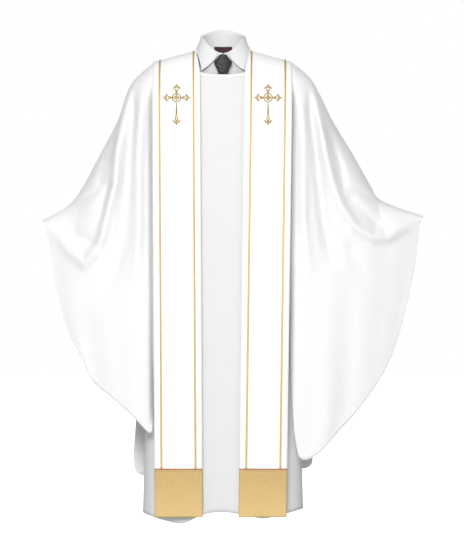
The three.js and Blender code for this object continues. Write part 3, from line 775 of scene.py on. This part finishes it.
def yoke(lift):
    def lay(u, v):
        name = "right" if u < 0.5 else "left"
        along = 1 - abs(1 - 2 * u)
        width_place = mix(stole_outer[name], stole_inner(stoles[name], 0.0), v)
        x = stoles[name]["side"] * width_place * (1 - along ** 2)
        sag = (1 - math.cos(along * math.pi)) / 2
        shoulder = seam_height(x) + stole_seam
        return on_stole(x, mix(shoulder, -yoke_dip - (1 - v) * stole_width, sag), -1, lift)
    return lay


for kind, lift, finish, thickness, slot_name in (
        ("lining", yoke_lift, stole_lining_cloth, lining_thick, "stole_lining"),
        ("", yoke_lift + lining_thick + layer_gap, stole_satin, band_thick, "stole_cloth")):
    piece = cloth_sheet("stole_neck_" + (kind or "cloth"), yoke(lift), 120, 24, finish, (0.46, stole_width),
                        thickness)
    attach(piece, "vestment")
    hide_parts("stole_yoke_lining" if kind else "stole_yoke")

# ---- stole: crosses ----
# A cross worked in padded gold thread on each band at the chest: a ring round a diamond at the
# crossing, and four arms of lozenges and leaves that end in buds, the lower one on a long stem.
cross_gold = gold_finish("cross_gold", (0.56, 0.40, 0.10), (0.29, 0.19, 0.04), 150.0, 0.6, 0.3, 0.45, 0.4)
cross_dark = gold_finish("cross_dark_gold", (0.36, 0.255, 0.07), (0.17, 0.115, 0.03), 150.0, -0.6, 0.3, 0.5,
                         0.4)
cross_pale = gold_finish("cross_pale_gold", (0.84, 0.70, 0.40), (0.58, 0.44, 0.19), 150.0, 0.2, 0.3, 0.45,
                         0.3)
cross_drop = 0.150
cross_lift = face_lift + 0.0003
DARK, PALE = 1, 2


def padded_shape(cross, outline, centre, turn, height, finish=0, sides=20):
    """A flat shape of stitches with a rounded top: outline(angle) gives x and y about its centre."""
    low = bmesh.ops.create_circle(cross, segments=sides, radius=1.0, cap_ends=True)["verts"]
    base = list({face for vert in low for face in vert.link_faces})
    grown = bmesh.ops.extrude_face_region(cross, geom=base)
    top_faces = [part for part in grown["geom"] if isinstance(part, bmesh.types.BMFace)]
    shoulder = bmesh.ops.inset_region(cross, faces=top_faces, thickness=0.28, use_even_offset=False)["faces"]
    level = {vert: 0.0 for vert in low}
    for face in shoulder:
        face.material_index = finish
        for vert in face.verts:
            level.setdefault(vert, height * 0.45)
    for face in top_faces:
        face.material_index = finish
        for vert in face.verts:
            level[vert] = height
    c, s = math.cos(turn), math.sin(turn)
    for vert, lift in level.items():
        x, y = outline(math.atan2(vert.co.y, vert.co.x))
        reach = math.hypot(vert.co.x, vert.co.y)
        x, y = x * reach, y * reach
        vert.co = (centre[0] + x * c - y * s, centre[1] + x * s + y * c, lift)


def leaf(long, wide, sharp=1.6):
    return lambda a: (long / 2 * math.cos(a),
                      wide / 2 * math.copysign(abs(math.sin(a)) ** sharp, math.sin(a)))


def teardrop(long, wide):
    return lambda a: (long / 2 * math.cos(a), wide / 2 * math.sin(a) * (0.62 - 0.38 * math.cos(a)) * 1.25)


def diamond(long, wide):
    def outline(a):
        reach = 1.0 / (abs(math.cos(a)) + abs(math.sin(a)))
        return long / 2 * math.cos(a) * reach, wide / 2 * math.sin(a) * reach
    return outline


def ring_arc(cross, radius, width, first, last, height):
    """Part of a ring, as a row of short stitches from the first angle to the last."""
    steps = 7
    for i in range(steps):
        a = mix(first, last, (i + 0.5) / steps)
        stitch = radius * (last - first) / steps * 1.35
        padded_shape(cross, leaf(stitch, width, 1.0), (radius * math.cos(a), radius * math.sin(a)),
                     a + math.pi / 2,
                     height, DARK if i in (0, steps - 1) else 0, 10)


def out_along(turn, reach, aside=0.0):
    c, s = math.cos(turn), math.sin(turn)
    return reach * c - aside * s, reach * s + aside * c


def short_arm(cross, turn, reach):
    padded_shape(cross, leaf(0.012, 0.0030, 1.0), out_along(turn, 0.0150), turn, 0.0007, DARK, 12)
    for aside in (-1, 1):
        padded_shape(cross, leaf(0.0120, 0.0036, 1.0), out_along(turn, 0.0215, aside * 0.0030),
                     turn + aside * 0.25, 0.0009, 0, 12)
        padded_shape(cross, leaf(0.0115, 0.0040, 1.2), out_along(turn, reach - 0.0098, aside * 0.0060),
                     turn + aside * 2.25, 0.0009, DARK, 14)
        padded_shape(cross, leaf(0.0060, 0.0030, 1.0), out_along(turn, reach - 0.0128, aside * 0.0092),
                     turn + aside * 1.1, 0.0009, 0, 10)
    padded_shape(cross, leaf(0.0050, 0.0022, 1.0), out_along(turn, 0.0215), turn, 0.0010, PALE, 10)
    padded_shape(cross, leaf(0.0135, 0.0060, 1.3), out_along(turn, reach - 0.0062), turn, 0.0012)
    padded_shape(cross, leaf(0.0065, 0.0024, 1.3), out_along(turn, reach - 0.0070), turn, 0.0015, PALE, 12)


def stem_outline(a):
    """A long stem, thin at the crossing and wider at the foot, which is towards the first axis."""
    along = math.cos(a)
    return 0.0200 * along, (0.0021 + 0.0010 * along) * math.copysign(abs(math.sin(a)) ** 0.4, math.sin(a))


def worked_cross(name, band):
    cross = bmesh.new()
    for quarter in range(4):
        middle = math.pi / 4 + quarter * math.pi / 2
        ring_arc(cross, 0.0120, 0.0036, middle - 0.66, middle + 0.66, 0.0010)
    padded_shape(cross, diamond(0.0180, 0.0180), (0.0, 0.0), 0.0, 0.0008, DARK)
    padded_shape(cross, diamond(0.0145, 0.0145), (0.0, 0.0), 0.0, 0.0011, PALE)
    padded_shape(cross, diamond(0.0100, 0.0100), (0.0, 0.0), 0.0, 0.0014, DARK)
    padded_shape(cross, diamond(0.0062, 0.0062), (0.0, 0.0), 0.0, 0.0017)
    for turn in (0.0, math.pi / 2, math.pi):
        short_arm(cross, turn, 0.0400)
    down = -math.pi / 2
    padded_shape(cross, stem_outline, out_along(down, 0.0320), down, 0.0009, DARK, 40)
    padded_shape(cross, teardrop(0.0240, 0.0105), out_along(down, 0.0565), down + math.pi, 0.0011, DARK)
    padded_shape(cross, teardrop(0.0180, 0.0065), out_along(down, 0.0575), down + math.pi, 0.0015, PALE)
    for aside in (-1, 1):
        padded_shape(cross, leaf(0.0115, 0.0042, 1.2), out_along(down, 0.0700, aside * 0.0062),
                     down + aside * 2.25, 0.0010, DARK, 14)
        padded_shape(cross, leaf(0.0060, 0.0032, 1.0), out_along(down, 0.0665, aside * 0.0094),
                     down + aside * 1.1, 0.0010, 0, 10)
    padded_shape(cross, leaf(0.0125, 0.0062, 1.3), out_along(down, 0.0735), down, 0.0013)
    bmesh.ops.recalc_face_normals(cross, faces=cross.faces)
    thread_map = cross.loops.layers.uv.new("thread_lay")
    for face in cross.faces:
        for loop in face.loops:
            loop[thread_map].uv = (loop.vert.co.x, loop.vert.co.y)
    middle = band["side"] * (stole_inner(band, -cross_drop) + stole_width / 2)
    for vert in cross.verts:
        vert.co = on_stole(middle + vert.co.x, vert.co.y - cross_drop, 1, cross_lift + vert.co.z)
    return finish_piece("stole_cross_work_" + name, cross, [cross_gold, cross_dark, cross_pale])


for name, band in stoles.items():
    cross = worked_cross(name, band)
    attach(cross, "vestment")
    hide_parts("stole_cross_" + name)

# ---- shirt: collar stand and fall ----
# A white shirt collar stands inside the alb: a stiff stand round the neck, and a turned-down fall
# with two points, fused and stitched along its edge. A fine-woven label is sewn inside the back.
collar_poplin = cloth_finish("collar_poplin", (0.775, 0.78, 0.785), (0.72, 0.725, 0.735), 1500.0, 0.5, 0.7,
                             bump=0.06, seam=(0.46, 0.004, 0.062, 0.0045))
collar_half = 0.060
collar_depth = 0.056
collar_thick = 0.0016
tie_thick = 0.0012
collar_edges = {
    "stand_low": (-0.038, -0.018, -0.024),
    "stand_top": (-0.016, 0.038, 0.060),
    "fall_low": (-0.036, 0.008, 0.008),
}


def edge_height(edge, angle):
    """Height of a collar edge, whose three heights are at the front, the side and the back."""
    front, side, back = collar_edges[edge] if isinstance(edge, str) else edge
    s = math.sin(angle)
    return mix(side, front, s * s) if s < 0 else mix(side, back, s * s)


def neck_place(angle, z, out):
    return Vector(((collar_half + out) * math.cos(angle), (collar_depth + out) * math.sin(angle), z))


def neck_ring(low, high, out, opening):
    def lay(u, v):
        angle = mix(-math.pi / 2 + opening, math.pi * 1.5 - opening, u)
        return neck_place(angle, mix(edge_height(low, angle), edge_height(high, angle), v), out)
    return lay


stand = cloth_sheet("collar_stand_cloth", neck_ring("stand_low", "stand_top", 0.0, 0.02), 120, 12,
                    collar_poplin,
                    (0.36, 0.052), 0.0015)
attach(stand, "vestment")
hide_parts("shirt_collar_stand")

loop_lift = collar_thick + 0.0006
fall_lift = loop_lift + tie_thick + layer_gap


def collar_fall(u, v):
    across = 2 * u - 1
    fold_angle = mix(-math.pi / 2 + 0.22, math.pi * 1.5 - 0.22, u)
    fold = neck_place(fold_angle, edge_height("stand_top", fold_angle), fall_lift)
    low_angle = mix(-math.pi / 2 + 0.92, math.pi * 1.5 - 0.92, u)
    reach = abs(across) ** 6
    low = neck_place(low_angle, edge_height("fall_low", low_angle) - 0.060 * reach, fall_lift + 0.014)
    low.y -= 0.032 * reach
    share = 1 - (1 - v) ** 1.8
    roll = 0.0016 * math.sin(math.pi * v)
    place = low.lerp(fold, share)
    away = Vector((place.x, place.y, 0.0)).normalized()
    return Vector((place.x + roll * away.x, place.y + roll * away.y, mix(low.z, fold.z, v)))


fall = cloth_sheet("collar_fall_cloth", collar_fall, 160, 26, collar_poplin, (0.46, 0.062), 0.0015)
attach(fall, "vestment")
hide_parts("shirt_collar_fall")

label_weave = cloth_finish("label_weave", (0.055, 0.016, 0.022), (0.028, 0.009, 0.013), 1400.0, 0.5, 0.8,
                           ribs=0.2,
                           seam=(0.051, 0.0015, 0.022, 0.0015))


def neck_label(u, v):
    angle = mix(math.pi / 2 + 0.46, math.pi / 2 - 0.46, u)
    return neck_place(angle, mix(-0.012, 0.010, v), -0.0008)


label = cloth_sheet("neck_label_cloth", neck_label, 24, 10, label_weave, (0.051, 0.022), 0.0005)
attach(label, "vestment")
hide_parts("neck_label")

# ---- shirt: front and button ----
# Two halves of the shirt front show below the collar, lapped at a stitched placket, and a small
# moulded button closes the stand behind the knot.
# Painted shade: the shirt front's poplin is a darker grey than the collar's, for the shade under the collar.
shirt_poplin_painted_shade = cloth_finish("shirt_poplin_painted_shade", (0.66, 0.665, 0.675), (0.58, 0.585, 0.60), 1500.0, 0.55, 0.8,
                            bump=0.06, seam=(0.070, 0.003, 0.19, 0.004))
shirt_half = 0.070
shirt_length = 0.240


def shirt_slope(z):
    return 0.040 * (1 - math.exp((z + 0.038) / 0.090))


def shirt_half_front(side):
    def lay(u, v):
        x = mix(hair_gap, shirt_half, u) if side > 0 else mix(-shirt_half, -hair_gap, u)
        top = mix(collar_edges["stand_low"][0] - 0.0006, -0.058, (abs(x) / shirt_half) ** 2)
        z = mix(top, -shirt_length, 1 - v)
        y = collar_depth * math.sqrt(1 - (x / 0.115) ** 2) + shirt_slope(z)
        placket = 0.0009 * smooth(-abs(x), -0.017, -0.015)
        return Vector((x, -y - placket, z))
    return lay


for name, side in (("left", -1), ("right", 1)):
    half = cloth_sheet("shirt_half_" + name, shirt_half_front(side), 50, 60, shirt_poplin_painted_shade, (0.070, 0.19),
                       0.0010)
    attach(half, "vestment")
    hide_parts("shirt_front_" + name)

button_plastic, plastic = new_finish("button_plastic", {"Roughness": 0.25})
pearl_place = add_node(plastic, "ShaderNodeTexCoord")["Object"]
pearl = add_node(plastic, "ShaderNodeTexNoise", {"Vector": pearl_place, "Scale": 260.0})["Fac"]
pearl_tone = add_node(plastic, "ShaderNodeMix",
                      {"Factor": pearl, 6: (0.80, 0.78, 0.73, 1.0), 7: (0.92, 0.91, 0.89, 1.0)},
                      data_type="RGBA")
set_inputs(plastic, plastic.nodes["Principled BSDF"], {"Base Color": pearl_tone[2]})
button_low, button_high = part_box("collar_button")
button_middle = (button_low + button_high) / 2
disc = bmesh.new()
bmesh.ops.create_circle(disc, segments=32, radius=(button_high.x - button_low.x) / 2, cap_ends=True)
thick = bmesh.ops.extrude_face_region(disc, geom=list(disc.faces))
front_verts = [part for part in thick["geom"] if isinstance(part, bmesh.types.BMVert)]
front_faces = [part for part in thick["geom"] if isinstance(part, bmesh.types.BMFace)]
bmesh.ops.translate(disc, verts=front_verts, vec=(0.0, 0.0, button_high.y - button_low.y))
bmesh.ops.inset_region(disc, faces=front_faces, thickness=0.0012)
bmesh.ops.translate(disc, verts=list({v for f in front_faces for v in f.verts}), vec=(0.0, 0.0, -0.0006))
bmesh.ops.recalc_face_normals(disc, faces=disc.faces)
rim = [edge for edge in disc.edges if len(edge.link_faces) == 2 and edge.calc_face_angle(0.0) > 1.0]
bmesh.ops.bevel(disc, geom=rim, offset=0.0003, segments=3, profile=0.5, affect="EDGES", material=-1)
for vert in disc.verts:
    x, y, z = vert.co
    vert.co = (button_middle.x + x, button_high.y - z, button_middle.z + y)
bmesh.ops.recalc_face_normals(disc, faces=disc.faces)
button = finish_piece("collar_button_disc", disc, [button_plastic])
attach(button, "vestment")
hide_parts("collar_button")

# ---- tie ----
# A black silk twill tie: a loop under the collar's fall, a full knot between its points, and the
# blade and tail hanging from it inside the alb.
tie_silk = cloth_finish("tie_silk", (0.030, 0.031, 0.034), (0.012, 0.0125, 0.014), 1200.0, 0.35, 0.55,
                        sheen=0.1, ribs=0.8, bump=0.1)
loop_heights = ((-0.034, -0.004, 0.014), (-0.022, 0.012, 0.032))
loop = cloth_sheet("tie_loop_cloth", neck_ring(*loop_heights, loop_lift, 0.3), 100, 8, tie_silk,
                   (0.35, 0.018), 0.0010)
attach(loop, "vestment")
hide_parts("tie_neck_loop")

knot_low, knot_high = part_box("tie_knot")
knot_outline = [(-0.0770, 0.0120), (-0.0750, 0.0135), (-0.0690, 0.0165), (-0.0600, 0.0205), (-0.0530, 0.0245),
                (-0.0480, 0.0258), (-0.0430, 0.0250), (-0.0360, 0.0195), (-0.0290, 0.0140), (-0.0240, 0.0110),
                (-0.0222, 0.0095)]


def tie_knot(u, v):
    """Wrapped cloth: flat behind, full in front, with slanting creases across its face."""
    z, half = through(knot_outline, v)
    angle = u * 2 * math.pi
    c, s = math.cos(angle), math.sin(angle)
    deep = (knot_high.y - knot_low.y) / 2 * mix(0.72, 1.0, math.sin(math.pi * clamp(v * 0.9 + 0.05)))
    x = half * math.copysign(abs(c) ** 0.8, c)
    y = deep * math.copysign(abs(s) ** 0.8, s)
    slant = z + 0.25 * x
    crease = 0.0006 * math.sin(slant * 620 + 3 * x / 0.02) * max(0.0, -s) ** 2
    middle = (knot_low.y + knot_high.y) / 2
    return Vector((x * (1 - 0.02 * max(0.0, s)), middle + y + crease, z))


knot_grid = bmesh.new()
bmesh.ops.create_grid(knot_grid, x_segments=56, y_segments=48, size=0.5)
knot_map = knot_grid.loops.layers.uv.new("flat_cut")
for face in knot_grid.faces:
    for loop_corner in face.loops:
        across, up = loop_corner.vert.co.x + 0.5, loop_corner.vert.co.y + 0.5
        loop_corner[knot_map].uv = (across * 0.12 + up * 0.02, up * 0.056)
for vert in knot_grid.verts:
    vert.co = tie_knot(clamp(vert.co.x + 0.5), clamp(vert.co.y + 0.5))
bmesh.ops.remove_doubles(knot_grid, verts=knot_grid.verts, dist=1e-5)
open_edges = [edge for edge in knot_grid.edges if edge.is_boundary]
bmesh.ops.holes_fill(knot_grid, edges=open_edges, sides=0)
bmesh.ops.recalc_face_normals(knot_grid, faces=knot_grid.faces)
knot = finish_piece("tie_knot_wrap", knot_grid, [tie_silk])
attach(knot, "vestment")
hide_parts("tie_knot")

tie_top = -0.0776


def tie_strip(half, length, inwards):
    def lay(u, v):
        z = mix(tie_top, tie_top - length, 1 - v)
        spread = mix(half * 0.5, half, clamp((1 - v) * 2))
        x = mix(-1, 1, u) * spread
        y = collar_depth + collar_thick + 0.003 + shirt_slope(z) - inwards
        return Vector((x, -y, z))
    return lay


for name, half, length, inwards, under in (("blade", 0.038, 0.380, 0.0, "shirt_front_left"),
                                           ("tail", 0.022, 0.304, 0.002, "shirt_front_right")):
    strip = cloth_sheet("tie_" + name + "_cloth", tie_strip(half, length, inwards), 20, 80, tie_silk,
                        (2 * half, length), 0.0010)
    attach(strip, "vestment")
    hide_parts("tie_" + name)
